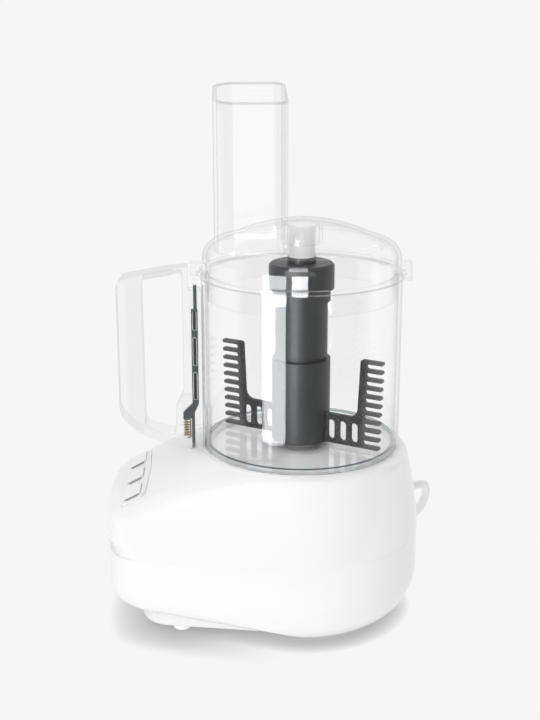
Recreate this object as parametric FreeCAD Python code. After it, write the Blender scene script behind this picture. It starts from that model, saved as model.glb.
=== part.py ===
import FreeCAD
import Part
import math
import os

from FreeCAD import Vector

# Compact food processor: motor base, clear bowl with handle, clear lid with feed tube, comb whisk.
# Millimetres. Everything is drawn about the bowl axis, front towards -Y, floor at z = 0, and moved
# at the end so that the origin is under the middle of the machine.

# Motor base
rear_radius = 79.0
nose_reach = 128.0
side_taper_deg = 9.5
corner_radius = 24.0
nose_arc_radius = 300.0
foot_height = 4.0
bottom_round = 30.0
bottom_inset = 26.5
bottom_fullness = 0.94
round_steps = 6
chin_round = 17.0
chin_lift = 16.4
chin_end = 8.0
chin_proud = 0.1
parting_height = 60.0
parting_gap = 0.2
deck_height = 116.0
wall_lean = 8.6
wall_curve = 1.7
deck_edge_round = 5.0
hood_drop = 28.0
nose_edge_round = 7.5
hood_corner = 14.0
deck_corner = 45.0
deck_front_extra = 0.6
housing_wall = 3.0
deck_thickness = 4.0
lip_thickness = 1.5
lip_height = 3.0
lip_gap = 0.3
plinth_gap = 0.5
plinth_wall = 2.6
plinth_height = 21.5
plinth_edge_round = 3.0
vent_count = 12
vent_width = 3.0
vent_inner = 16.0
vent_outer = 38.0

# Feet
foot_radius = 6.0
foot_edge_round = 1.5
front_foot_x = 36.0
front_foot_y = -80.0
rear_foot_x = 40.0
rear_foot_y = 27.0

# Control panel
panel_climb = 0.19
panel_width = 86.0
panel_end_depth = 17.0
panel_front_bulge = 2.2
panel_rear_bulge = 2.8
panel_edge_radius = 150.0
panel_thickness = 2.0
panel_proud = 0.1
panel_upper_corner = 7.0
panel_lower_corner = 3.0
panel_seat_gap = 0.2
panel_ledge = 1.2
button_pitch = 29.0
button_width = 20.5
button_depth = 11.5
button_corner = 3.0
button_proud = 1.2
button_edge_share = 0.45
button_gap = 0.35
button_flange = 1.2
button_flange_thickness = 1.2
button_travel = 2.0
button_stem_radius = 2.5
key_gap = 0.5
key_switch_size = 6.0
key_switch_height = 3.5
board_drop = 15.0
board_thickness = 1.6
board_edge_gap = 3.0
board_depth = 13.0
post_radius = 2.2

# Bowl
bowl_radius = 65.0
bowl_wall = 2.5
bowl_floor_thickness = 2.5
bowl_height = 114.2
seat_ring_thickness = 0.8
seat_ring_width = 6.0
seat_ring_inset = 1.0
bowl_foot_height = 0.4
chimney_bore = 10.2
chimney_wall = 2.2
chimney_top_gap = 1.0

# Drive
spindle_radius = 6.0
spindle_rise = 24.7
spindle_tail = 15.0
spindle_flat = 4.6
spindle_flat_length = 28.0
spindle_tip_chamfer = 0.8
spindle_collar_radius = 8.0
running_gap = 0.05
press_gap = 0.02
seat_gap = 0.3
bearing_wall = 3.0
bearing_length = 10.0
bearing_boss_wall = 4.0
bearing_rise = 3.0
seal_length = 5.0
seal_wall = 2.2
boss_gap = 0.2
boss_wall = 1.2
boss_height = 8.0
stator_radius = 48.0
air_gap = 0.4
rotor_radius = 23.6
winding_height = 7.0
winding_inner = 27.0
winding_outer = 40.0
lower_winding_room = 14.0
upper_winding_room = 11.0
bracket_radius = 56.0
bracket_thickness = 4.0
bracket_vent_radius = 7.5
bracket_vent_circle = 32.0
bracket_vent_count = 8
upper_bracket_drop = 21.0
lower_bracket_z = 28.0
bolt_circle = 44.0
bolt_radius = 2.0
bolt_head_radius = 3.6
bolt_head_height = 3.0
boss_circle = 51.0
boss_radius = 4.5
screw_radius = 1.5
screw_head_radius = 3.0
screw_head_height = 2.2
screw_grip = 7.0
screw_end_gap = 0.5
fan_radius = 42.0
fan_drop = 14.0
fan_height = 10.0
fan_blades = 9
fan_blade_thickness = 1.6
fan_hub_radius = 10.0
fan_plate_thickness = 1.6

# Whisk
whisk_angle_deg = 58.0
whisk_floor_gap = 0.6
hub_radius = 19.3
hub_height = 55.0
hub_bore_gap = 0.7
hub_shoulder = 3.0
stem_radius = 17.25
stem_groove_depth = 1.2
stem_groove_height = 2.2
collar_neck_radius = 19.0
collar_neck_height = 6.5
collar_radius = 21.25
collar_height = 18.1
collar_chamfer = 1.5
collar_tube_gap = 10.4
cap_radius = 8.6
cap_base_radius = 9.2
cap_base_height = 3.9
cap_top_gap = 1.4
cap_round = 1.5
stud_radius = 4.5
stud_end_depth = 5.0
socket_wall = 2.6
socket_gap = 0.3
wing_thickness = 2.6
wing_wall_gap = 2.5
wing_draw_in = 1.8
wing_height = 59.8
wing_root_depth = 4.0
wing_bar_round = 2.0
bar_top_depth = 16.0
bar_bottom_depth = 17.9
tooth_count = 11
tooth_gap_share = 0.54
tooth_length = 11.8
arm_height = 20.3
arm_fillet = 6.0
slot_count = 3
slot_width = 5.2
slot_height = 13.4
slot_rise = 2.6
slot_hub_gap = 1.5
slot_tooth_gap = 3.6
full_round = 0.49

# Lid
lid_wall = 2.2
lid_rim_overhang = 1.5
lid_rim_height = 3.0
lid_side_step = 1.0
lid_shoulder_round = 11.0
lid_shoulder_rise = 22.5
lid_apex_rise = 36.0
lid_skirt_gap = 0.4
lid_skirt_wall = 1.8
lid_skirt_drop = 14.0
bearing_ring_gap = 0.5
bearing_ring_wall = 2.2
bearing_ring_height = 12.0
ring_holder_gap = 0.3
ring_holder_wall = 1.8
tube_half_width = 30.0
tube_front = 56.0
tube_rear = 10.0
tube_wall = 2.2
tube_front_corner = 14.0
tube_rear_corner = 8.0
tube_foot_drop = 4.5
tube_mouth_rise = 114.8
tube_mouth_tilt_deg = 8.2
tab_half_width = 6.0
tab_overhang = 7.0
tab_rise = 8.0
tab_rim_gap = 0.6
rear_tab_drop = 4.0
rear_tab_shortfall = 1.0
rear_tab_gap = 0.8
finger_half_width = 2.5
finger_offset = 0.1
finger_depth = 3.3
finger_gap = 0.6

# Handle and interlock
rod_thickness = 3.0
rod_gap = 0.6
rod_bowl_gap = 2.4
rod_depth = 4.2
rod_tip_width = 2.2
rod_tip_length = 16.0
rod_tip_drop = 7.0
rod_window_width = 2.0
rod_window_length = 18.7
rod_window_web = 5.0
rod_window_count = 3
rod_window_rise = 2.6
rod_window_end = 2.0
rod_window_sink = 0.7
rod_strip_rise = 27.6
rod_foot_rise = 21.4
rod_foot_height = 4.2
rod_foot_depth = 6.2
rod_travel = 4.0
leg_offset = 2.8
leg_depth = 2.0
column_wall = 4.8
column_half_width = 7.0
column_flare_depth = 5.4
handle_half_width = 11.0
handle_edge_round = 1.4
handle_hole_round = 1.2
grip_back_round = 5.5
handle_glue_gap = 0.15
handle_root_depth = 24.0
handle_rise = 6.0
handle_deck_gap = 0.6
crown_reach = 1.0
crown_round = 20.0
grip_top_reach = 42.4
grip_top_drop = 7.4
grip_top_round = 9.0
grip_bend_reach = 42.2
grip_bend_rise = 22.5
grip_bend_round = 14.0
grip_heel_reach = 30.6
grip_heel_rise = 11.2
grip_heel_round = 8.0
handle_toe_reach = 7.0
handle_toe_round = 8.0
hole_top_bar = 3.2
hole_top_drop = 4.2
hole_top_reach = 26.2
hole_top_round = 3.0
hole_bottom_rise = 7.2
hole_heel_reach = 25.7
hole_heel_rise = 6.8
hole_heel_round = 5.0
hole_flare_rise = 17.5
hole_flare_round = 3.0
hole_column_rise = 29.6
hole_column_round = 3.0
notch_depth = 9.5
notch_gap = 1.4
spring_seat_rise = 3.8
spring_radius = 2.2
spring_wire = 0.45
spring_turns = 7
pin_radius = 1.4
pin_length = 22.0
pin_collar_radius = 2.6
pin_collar_height = 1.5
pin_spring_wire = 0.35
pin_spring_turns = 3
pin_spring_length = 5.0
rib_thickness = 2.0
switch_width = 12.0
switch_depth = 20.0
switch_height = 10.0

# Mains lead
cord_radius = 3.0
gland_angle_deg = 125.0
gland_length = 20.0
gland_root_radius = 5.6
gland_tip_radius = 4.2
gland_flange_radius = 7.6
gland_flange_thickness = 2.0
gland_hole_gap = 0.2
lead_first_run = 13.6
coil_radius = 33.0
coil_step = 6.6
coil_turns = 5
coil_start_x = -99.0
coil_start_y = -11.0
coil_tail = 36.0
tie_thickness = 1.0
tie_width = 9.0
tie_gap = 0.2
tie_room = 1.0
plug_relief_length = 16.0
plug_length = 30.0
plug_width = 24.0
plug_height = 18.0
plug_edge_round = 3.0
blade_length = 17.0
blade_width = 6.3
blade_thickness = 1.5
blade_pitch = 12.7

# How far cutting blocks run past a face, and how far the largest of them reach
past = 1.0
far_out = 2 * nose_reach

# Sizes that follow from the ones above
nose_edge_height = deck_height - hood_drop
deck_front = rear_radius - wall_lean - deck_edge_round + deck_front_extra
incline_run = nose_reach - nose_edge_round - deck_front
panel_slope = math.atan2(hood_drop, incline_run)
panel_centre_y = panel_climb * incline_run + nose_edge_round - nose_reach
panel_centre_z = nose_edge_height + panel_climb * hood_drop
seat_top = deck_height + seat_ring_thickness
bowl_top = seat_top + bowl_height
bowl_floor = seat_top + bowl_foot_height
bowl_inside = bowl_floor + bowl_floor_thickness
bowl_bore = bowl_radius - bowl_wall
chimney_radius = chimney_bore + chimney_wall
whisk_bottom = bowl_inside + whisk_floor_gap
wing_top = whisk_bottom + wing_height
wing_reach = bowl_bore - wing_wall_gap
hub_top = whisk_bottom + hub_height
chimney_top = hub_top - hub_shoulder - chimney_top_gap
upper_bracket_z = deck_height - upper_bracket_drop
stator_bottom = lower_bracket_z + bracket_thickness + lower_winding_room
stator_top = upper_bracket_z - upper_winding_room
spindle_bottom = lower_bracket_z - spindle_tail
spindle_top = hub_top + spindle_rise
spindle_flat_from = spindle_top - spindle_flat_length
fan_bottom = lower_bracket_z - fan_drop
socket_ceiling = spindle_top + seat_gap
lid_rim_radius = bowl_radius + lid_rim_overhang
lid_side_radius = bowl_radius - lid_side_step
lid_shoulder_top = bowl_top + lid_shoulder_rise
lid_apex = bowl_top + lid_apex_rise
tube_foot = lid_shoulder_top - tube_foot_drop
tube_mouth_middle = bowl_top + tube_mouth_rise
tab_reach = bowl_radius + tab_overhang
tab_top = bowl_top + tab_rise
rear_tab_bottom = bowl_top - rear_tab_drop
collar_top = tube_foot - collar_tube_gap
collar_neck_top = collar_top - collar_height
stem_top = collar_neck_top - collar_neck_height
cap_bottom = collar_top + cap_base_height
cap_top = lid_apex - lid_wall - cap_top_gap
rod_inner = bowl_radius + rod_bowl_gap
rod_outer = rod_inner + rod_depth
leg_inner = rod_inner + leg_offset
leg_outer = leg_inner + leg_depth
finger_inner = rod_inner - finger_offset
finger_outer = finger_inner + finger_depth
column_outer = rod_outer + rod_gap + column_wall
column_flare = column_outer + column_flare_depth
handle_top = bowl_top + handle_rise
handle_bottom = deck_height + handle_deck_gap
hole_top = handle_top - hole_top_bar
hole_bottom = handle_bottom + hole_bottom_rise
notch_reach = tab_reach + notch_gap
notch_floor = bowl_top - notch_depth
rod_tip_top = bowl_top - rod_tip_drop
rod_tip_from = rod_tip_top - rod_tip_length
rod_strip_bottom = handle_bottom + rod_strip_rise
rod_foot_top = handle_bottom + rod_foot_rise
rod_foot_bottom = rod_foot_top - rod_foot_height
rod_foot_outer = rod_outer + rod_foot_depth
spring_seat = handle_bottom + spring_seat_rise
gland_height = parting_height
cord_floor = cord_radius + tie_thickness + tie_gap
coil_out = coil_radius + coil_step * coil_turns / 4
axis_offset = (nose_reach - rear_radius) / 2

# Side view of the handle: distance before the bowl axis, height, corner radius
handle_corners = [
    (column_outer + crown_reach, handle_top, crown_round),
    (column_outer + grip_top_reach, handle_top - grip_top_drop, grip_top_round),
    (column_outer + grip_bend_reach, handle_bottom + grip_bend_rise, grip_bend_round),
    (column_outer + grip_heel_reach, handle_bottom + grip_heel_rise, grip_heel_round),
    (column_outer + handle_toe_reach, handle_bottom, handle_toe_round),
]
hole_corners = [
    (column_outer + hole_top_reach, hole_top - hole_top_drop, hole_top_round),
    (column_outer + hole_heel_reach, hole_bottom + hole_heel_rise, hole_heel_round),
    (column_flare, hole_bottom, hole_flare_round),
    (column_flare, hole_bottom + hole_flare_rise, hole_flare_round),
    (column_outer, hole_bottom + hole_column_rise, hole_flare_round),
    (column_outer, hole_top, hole_column_round),
]

os.makedirs("parts", exist_ok=True)


def save(name, shape):
    """Move a piece from the bowl axis to the machine's own origin and write it."""
    moved = shape.copy()
    moved.translate(Vector(0, axis_offset, 0))
    if not moved.isValid():
        print("not valid:", name)
    print(name, "solids", len(moved.Solids), "volume", round(moved.Volume, 1))
    moved.exportStep("parts/" + name + ".step")


def box(x0, x1, y0, y1, z0, z1):
    return Part.makeBox(x1 - x0, y1 - y0, z1 - z0, Vector(x0, y0, z0))


def cylinder(radius, z0, z1, x=0.0, y=0.0):
    return Part.makeCylinder(radius, z1 - z0, Vector(x, y, z0))


def tube(outer, inner, z0, z1):
    return cylinder(outer, z0, z1).cut(cylinder(inner, z0, z1))


def revolve(points):
    """Turn a closed profile of (radius, height) points about the bowl axis."""
    corners = [Vector(r, 0, z) for r, z in points]
    face = Part.Face(Part.makePolygon(corners + corners[:1]))
    return face.revolve(Vector(0, 0, 0), Vector(0, 0, 1), 360)


def turned(shape, angle_deg):
    copy = shape.copy()
    copy.rotate(Vector(0, 0, 0), Vector(0, 0, 1), angle_deg)
    return copy


def around(shape, count, start_deg=0.0):
    """Copies of a shape, evenly spaced about the bowl axis."""
    return [turned(shape, start_deg + 360.0 * index / count) for index in range(count)]


def rounded_polygon(points, radii):
    """Closed wire through 3-D points that lie in one plane, each corner rounded by its own radius."""
    edges = []
    ends = []
    count = len(points)
    for index in range(count):
        here = points[index]
        to_before = (points[index - 1] - here).normalize()
        to_after = (points[(index + 1) % count] - here).normalize()
        half = to_before.getAngle(to_after) / 2
        reach = radii[index] / math.tan(half)
        middle_way = (to_before + to_after).normalize()
        centre_distance = radii[index] / math.sin(half)
        start = here + to_before * reach
        middle = here + middle_way * (centre_distance - radii[index])
        end = here + to_after * reach
        ends.append((start, middle, end))
    for index in range(count):
        start, middle, end = ends[index]
        if radii[index] > 0:
            edges.append(Part.Arc(start, middle, end).toShape())
        following = ends[(index + 1) % count][0]
        if (following - end).Length > 1e-6:
            edges.append(Part.LineSegment(end, following).toShape())
    return Part.Wire(edges)


def prism(points, radii, depth):
    """Extrude a rounded polygon along a vector."""
    return Part.Face(rounded_polygon(points, radii)).extrude(depth)


def edges_above(shape, height):
    """Edges of a shape that lie wholly at or above a height."""
    return [edge for edge in shape.Edges if edge.BoundBox.ZMin > height - 0.01]


# Outline of the base

def egg(rear, front, corner, nose, level):
    """Closed outline at one level: rear arc, tapered sides, corner arcs and a flat nose arc."""
    slant = math.radians(side_taper_deg)
    out_x = math.cos(slant)
    out_y = -math.sin(slant)
    along_x = -math.sin(slant)
    along_y = -math.cos(slant)
    nose_y = nose - front
    from_x = (rear - corner) * out_x
    from_y = (rear - corner) * out_y - nose_y
    dot = from_x * along_x + from_y * along_y
    reach = math.sqrt(dot ** 2 - from_x ** 2 - from_y ** 2 + (nose - corner) ** 2) - dot
    centre_x = from_x + reach * along_x
    centre_y = from_y + reach * along_y + nose_y
    length = math.hypot(centre_x, centre_y - nose_y)
    aim_x = centre_x / length
    aim_y = (centre_y - nose_y) / length
    between = math.hypot(out_x + aim_x, out_y + aim_y)
    side_start = (rear * out_x, rear * out_y)
    side_end = (centre_x + corner * out_x, centre_y + corner * out_y)
    corner_middle = (
        centre_x + corner * (out_x + aim_x) / between,
        centre_y + corner * (out_y + aim_y) / between,
    )
    nose_end = (nose * aim_x, nose_y + nose * aim_y)

    def right(point):
        return Vector(point[0], point[1], level)

    def left(point):
        return Vector(-point[0], point[1], level)

    return Part.Wire([
        Part.Arc(left(side_start), Vector(0, rear, level), right(side_start)).toShape(),
        Part.LineSegment(right(side_start), right(side_end)).toShape(),
        Part.Arc(right(side_end), right(corner_middle), right(nose_end)).toShape(),
        Part.Arc(right(nose_end), Vector(0, -front, level), left(nose_end)).toShape(),
        Part.Arc(left(nose_end), left(corner_middle), left(side_end)).toShape(),
        Part.LineSegment(left(side_end), left(side_start)).toShape(),
    ])


def quarter_round(radius, share):
    """How far a quarter round has drawn in after a share of its height."""
    return radius * (1 - math.sqrt(max(0.0, 1 - share ** 2)))


def hood_outline(z, inset=0.0, level=None):
    """Outline of the upper housing's outside at height z, moved in by inset and set at a level."""
    rise = max(0.0, z - parting_height) / (deck_height - parting_height)
    edge_share = max(0.0, z - deck_height + deck_edge_round) / deck_edge_round
    nose_share = max(0.0, z - nose_edge_height + nose_edge_round) / nose_edge_round
    climb = max(0.0, z - nose_edge_height) / hood_drop
    rear = rear_radius - wall_lean * rise ** wall_curve - quarter_round(deck_edge_round, edge_share)
    front = nose_reach - quarter_round(nose_edge_round, min(1.0, nose_share)) - climb * incline_run
    corner = corner_radius
    nose = nose_arc_radius
    if climb > 0:
        crown = climb ** 3
        corner = hood_corner + (corner_radius - hood_corner) * (1 - climb)
        corner += (deck_corner - hood_corner) * climb ** 4
        nose = 1 / (crown / deck_front + (1 - crown) / nose_arc_radius)
    sizes = [value - inset for value in (rear, front, corner, nose)]
    return egg(*sizes, z if level is None else level)


def wall_outline(inset, draw_in, level):
    """Outline of the lower housing, moved in by inset, with its ends drawn in further."""
    rear = rear_radius - inset - draw_in
    front = nose_reach - inset - draw_in
    return egg(rear, front, corner_radius - inset, nose_arc_radius - inset, level)


def upright(inset, draw_in, low, high):
    """Block with upright walls of the lower housing's outline."""
    return Part.Face(wall_outline(inset, draw_in, low)).extrude(Vector(0, 0, high - low))


def levels(low, high, steps):
    return [low + (high - low) * index / steps for index in range(steps + 1)]


# Panel frame: x across the machine, y up the slope, z out of the panel, origin on the hood's surface

def on_panel(shape):
    copy = shape.copy()
    copy.rotate(Vector(0, 0, 0), Vector(1, 0, 0), math.degrees(panel_slope))
    copy.translate(Vector(0, panel_centre_y, panel_centre_z))
    return copy


def plate(half_w, half_d, radii, low, high, x=0.0):
    """Flat block with rounded corners in the panel frame."""
    points = [
        Vector(x - half_w, -half_d, low),
        Vector(x + half_w, -half_d, low),
        Vector(x + half_w, half_d, low),
        Vector(x - half_w, half_d, low),
    ]
    return prism(points, radii, Vector(0, 0, high - low))


def panel_plate(grow, low, high):
    """Panel outline with bowed long edges, grown all round, as a block between two heights."""
    lower = max(post_radius, panel_lower_corner + grow)
    upper = max(post_radius, panel_upper_corner + grow)
    half_w = panel_width / 2 + grow
    half_d = panel_end_depth / 2 + grow
    points = [
        Vector(-half_w, -half_d, low),
        Vector(0, -half_d - panel_front_bulge, low),
        Vector(half_w, -half_d, low),
        Vector(half_w, half_d, low),
        Vector(0, half_d + panel_rear_bulge, low),
        Vector(-half_w, half_d, low),
    ]
    radii = [lower, panel_edge_radius, lower, upper, panel_edge_radius, upper]
    return prism(points, radii, Vector(0, 0, high - low))


def button_block(grow, low, high, x):
    radii = [button_corner + grow] * 4
    return plate(button_width / 2 + grow, button_depth / 2 + grow, radii, low, high, x)


button_places = [("left", -button_pitch), ("middle", 0.0), ("right", button_pitch)]
panel_under = panel_proud - panel_thickness
post_places = [-button_pitch / 2, button_pitch / 2]
board_top = panel_proud - board_drop
pin_y = -(leg_inner + leg_outer) / 2
pin_top = handle_bottom - seat_gap
pin_bottom = pin_top - pin_length
pin_collar_low = pin_bottom + pin_spring_length
switch_top = pin_bottom - seat_gap

# Gland hole: a round opening half in each housing, at the parting line
flange_room = rear_radius - housing_wall - lip_gap - lip_thickness - seat_gap
flange_at = math.sqrt(flange_room ** 2 - gland_flange_radius ** 2) - gland_flange_thickness
gland_hole = Part.makeCylinder(
    gland_root_radius + gland_hole_gap, rear_radius, Vector(flange_at, 0, gland_height), Vector(1, 0, 0)
)
gland_hole = turned(gland_hole, gland_angle_deg)

# Upper housing: lofted hood and wall, hollow, with shaft boss, panel seat and screw bosses
upper_levels = (
    levels(parting_height + parting_gap / 2, nose_edge_height - nose_edge_round, 3)
    + levels(nose_edge_height - nose_edge_round / 2, nose_edge_height, 1)
    + levels(nose_edge_height, deck_height - deck_edge_round, 5)[1:]
    + levels(deck_height - deck_edge_round, deck_height, 3)[1:]
)


def hollow_height(z):
    """Height inside the housing that lies under the outside's height z."""
    share = (z - nose_edge_height + nose_edge_round) / nose_edge_round
    return z - deck_thickness * min(1.0, max(0.0, share))


upper_outer = Part.makeLoft([hood_outline(z) for z in upper_levels], True, False)
upper_inner = Part.makeLoft(
    [hood_outline(z, housing_wall, hollow_height(z)) for z in upper_levels], True, True
)
boss_bore = spindle_radius + boss_gap
boss_outer_radius = boss_bore + seal_wall + boss_wall
boss_top = deck_height + boss_height
boss_low = upper_bracket_z + bracket_thickness
deck_bosses = around(cylinder(boss_radius, boss_low, deck_height - deck_thickness / 2, boss_circle), 4, 45)
screw_holes = around(cylinder(screw_radius, upper_bracket_z, boss_low + screw_grip, boss_circle), 4, 45)
upper_housing = upper_outer.cut(upper_inner)
upper_housing = upper_housing.fuse(deck_bosses)
upper_housing = upper_housing.fuse(cylinder(boss_outer_radius, deck_height - deck_thickness, boss_top))
for side in (-1, 1):
    near = side * switch_width / 2
    away = near + side * rib_thickness
    rib = box(
        min(near, away), max(near, away), pin_y - switch_depth / 2, pin_y + switch_depth / 2,
        switch_top - switch_height, deck_height,
    )
    upper_housing = upper_housing.fuse(rib.common(upper_outer))
upper_housing = upper_housing.cut(cylinder(boss_bore, parting_height, boss_top + past))
upper_housing = upper_housing.cut(cylinder(boss_bore + seal_wall, boss_top - seal_length, boss_top + past))
upper_housing = upper_housing.cut(screw_holes)
upper_housing = upper_housing.cut(gland_hole)
upper_housing = upper_housing.cut(on_panel(panel_plate(panel_seat_gap, panel_under, hood_drop)))
upper_housing = upper_housing.cut(on_panel(panel_plate(-panel_ledge, -board_drop, panel_under + past)))
pin_bore = pin_radius + rod_gap
upper_housing = upper_housing.cut(cylinder(pin_bore, parting_height, deck_height + past, 0, pin_y))
save("upper_housing", upper_housing)

# Lower housing: a round-bottomed tub, open below, whose bottom edge rises into a chin at the front
lower_top = parting_height - parting_gap / 2
full_angle = math.asin(bottom_fullness)
opening_draw_in = bottom_inset * (1 - math.cos(full_angle))


def tub(inset, round_height, low, high):
    """Round-bottomed block with the base's outline; below the round it goes straight down to low."""
    wires = []
    for step in range(round_steps, -1, -1):
        angle = full_angle * step / round_steps
        sunk = round_height * (1 - math.sin(angle) / bottom_fullness)
        wires.append(wall_outline(inset, bottom_inset * (1 - math.cos(angle)), foot_height + sunk))
    body = Part.makeLoft(wires, True, False)
    body = body.fuse(Part.Face(wires[-1]).extrude(Vector(0, 0, high - foot_height - round_height)))
    if low < foot_height:
        body = body.fuse(Part.Face(wires[0]).extrude(Vector(0, 0, low - foot_height)))
    return body


chin_slope = chin_lift / (nose_reach + chin_end)
raise_front = FreeCAD.Matrix(1, 0, 0, 0, 0, 1, 0, 0, 0, -chin_slope, 1, chin_slope * chin_end, 0, 0, 0, 1)


def chin_block(inset, low):
    """The tub with a smaller round, slanted so that it rises towards the front."""
    return tub(inset - chin_proud, chin_round, low, deck_height).transformGeometry(raise_front)


lower_outer = tub(0, bottom_round, foot_height, lower_top).common(chin_block(0, foot_height))
lower_inner = tub(housing_wall, bottom_round, -foot_height, parting_height).common(
    chin_block(housing_wall, -bottom_round)
)
lower_housing = lower_outer.cut(lower_inner)
lip_low = lower_top - lip_height
lip_high = lower_top + lip_height
lip = upright(housing_wall / 2, 0, lip_low, lower_top)
lip = lip.fuse(upright(housing_wall + lip_gap, 0, lower_top, lip_high))
lip = lip.cut(upright(housing_wall + lip_gap + lip_thickness, 0, lip_low, lip_high))
lower_housing = lower_housing.fuse(lip).cut(gland_hole)
save("lower_housing", lower_housing)

# Base plate: a tray that stands in the tub's opening and shows under the chin, with slots for the fan
plinth_top = foot_height + plinth_height
plinth_floor = foot_height + plinth_wall
base_plate = upright(housing_wall + plinth_gap, opening_draw_in, foot_height, plinth_top)
bottom_edges = [edge for edge in base_plate.Edges if edge.BoundBox.ZMax < foot_height + 0.01]
base_plate = base_plate.makeFillet(plinth_edge_round, bottom_edges)
tray_inset = housing_wall + plinth_gap + plinth_wall
base_plate = base_plate.cut(upright(tray_inset, opening_draw_in, plinth_floor, plinth_top))
vent_ends = [
    Vector(vent_inner, -vent_width / 2, foot_height),
    Vector(vent_outer, -vent_width / 2, foot_height),
    Vector(vent_outer, vent_width / 2, foot_height),
    Vector(vent_inner, vent_width / 2, foot_height),
]
vent = prism(vent_ends, [full_round * vent_width] * 4, Vector(0, 0, plinth_wall))
base_plate = base_plate.cut(around(vent, vent_count))
save("base_plate", base_plate)

# Feet: four soft discs under the base plate
feet = []
for foot_x, foot_y in ((front_foot_x, front_foot_y), (rear_foot_x, rear_foot_y)):
    for side in (-1, 1):
        foot = cylinder(foot_radius, 0, foot_height, side * foot_x, foot_y)
        feet.append(foot.makeFillet(foot_edge_round, [foot.Edges[2]]))
save("feet", Part.makeCompound(feet))

# Control panel with windows for the buttons and two posts that carry the circuit board
control_panel = panel_plate(0, panel_under, panel_proud)
for name, x in button_places:
    control_panel = control_panel.cut(button_block(button_gap, panel_under - past, panel_proud + past, x))
for x in post_places:
    control_panel = control_panel.fuse(cylinder(post_radius, board_top, panel_under + panel_thickness / 2, x))
save("control_panel", on_panel(control_panel))

# Three push buttons, each with a retaining flange and a stem to its key switch
key_top = board_top + key_switch_height
flange_top = panel_under - seat_gap
button_top = panel_proud + button_proud
for name, x in button_places:
    button = button_block(0, flange_top, button_top, x)
    button = button.makeFillet(button_proud * button_edge_share, edges_above(button, button_top))
    button = button.fuse(button_block(button_flange, flange_top - button_flange_thickness, flange_top, x))
    stem_bottom = key_top + button_travel + key_gap
    button = button.fuse(cylinder(button_stem_radius, stem_bottom, flange_top, x))
    save("button_" + name, on_panel(button.removeSplitter()))

# Circuit board with one key switch under each button
half_board = panel_width / 2 - panel_ledge - board_edge_gap
half_depth = board_depth / 2
half_key = key_switch_size / 2
board = box(-half_board, half_board, -half_depth, half_depth, board_top - board_thickness, board_top)
for name, x in button_places:
    board = board.fuse(box(x - half_key, x + half_key, -half_key, half_key, board_top, key_top))
save("circuit_board", on_panel(board))

# Motor brackets: two plates with bearing bosses, held together by four through bolts
bearing_outer = spindle_radius + running_gap + bearing_wall
boss_outer = bearing_outer + press_gap + bearing_boss_wall
bolt_holes = around(cylinder(bolt_radius + press_gap, 0, deck_height, bolt_circle), 4)
upper_bearing_z = upper_bracket_z + bracket_thickness + bearing_rise - bearing_length
for name, low, bearing_low in (
    ("upper", upper_bracket_z, upper_bearing_z),
    ("lower", lower_bracket_z, lower_bracket_z),
):
    high = low + bracket_thickness
    bearing_high = bearing_low + bearing_length
    bracket = cylinder(bracket_radius, low, high)
    bracket = bracket.fuse(cylinder(boss_outer, bearing_low, bearing_high))
    vent = cylinder(bracket_vent_radius, low, high, bracket_vent_circle)
    bracket = bracket.cut(around(vent, bracket_vent_count, 180 / bracket_vent_count))
    bracket = bracket.cut(cylinder(bearing_outer + press_gap, bearing_low, bearing_high))
    bracket = bracket.cut(bolt_holes)
    if name == "upper":
        bracket = bracket.cut(around(cylinder(screw_radius, low, high, boss_circle), 4, 45))
    save(name + "_bracket", bracket)
    save(name + "_bearing", tube(bearing_outer, spindle_radius + running_gap, bearing_low, bearing_high))

# Motor stator pack and its end windings
stator = tube(stator_radius, rotor_radius + air_gap, stator_bottom, stator_top).cut(bolt_holes)
save("motor_stator", stator)
windings = []
for low in (stator_bottom - winding_height, stator_top):
    windings.append(tube(winding_outer, winding_inner, low, low + winding_height))
save("motor_windings", Part.makeCompound(windings))

# Through bolts with sleeves that space the brackets from the stator
bolt_low = lower_bracket_z - bolt_head_height
bolt = cylinder(bolt_radius, bolt_low, upper_bracket_z + bracket_thickness, bolt_circle)
bolt = bolt.fuse([
    cylinder(bolt_head_radius, bolt_low, lower_bracket_z, bolt_circle),
    cylinder(bolt_head_radius, lower_bracket_z + bracket_thickness, stator_bottom, bolt_circle),
    cylinder(bolt_head_radius, stator_top, upper_bracket_z, bolt_circle),
])
save("motor_bolts", Part.makeCompound(around(bolt, 4)))

# Screws that hang the upper bracket from the housing's bosses
screw_low = upper_bracket_z - screw_head_height
screw_high = boss_low + screw_grip - screw_end_gap
screw = cylinder(screw_radius - press_gap, upper_bracket_z, screw_high, boss_circle)
screw = screw.fuse(cylinder(screw_head_radius, screw_low, upper_bracket_z, boss_circle))
save("bracket_screws", Part.makeCompound(around(screw, 4, 45)))

# Rotor: laminated core, spindle with drive flats, cooling fan
core_bore = spindle_radius + press_gap
save("rotor_core", tube(rotor_radius, core_bore, stator_bottom, stator_top))
spindle = cylinder(spindle_radius, spindle_bottom, spindle_top)
thrust_low = lower_bracket_z + bearing_length + seat_gap
spindle = spindle.fuse(cylinder(spindle_collar_radius, thrust_low, stator_bottom))


def beyond_flats(flat, radius, low, high):
    """Two blocks that leave only the stretch between a pair of flats of a round bar."""
    right = box(flat, 2 * radius, -radius, radius, low, high)
    return right.fuse(box(-2 * radius, -flat, -radius, radius, low, high))


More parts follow.
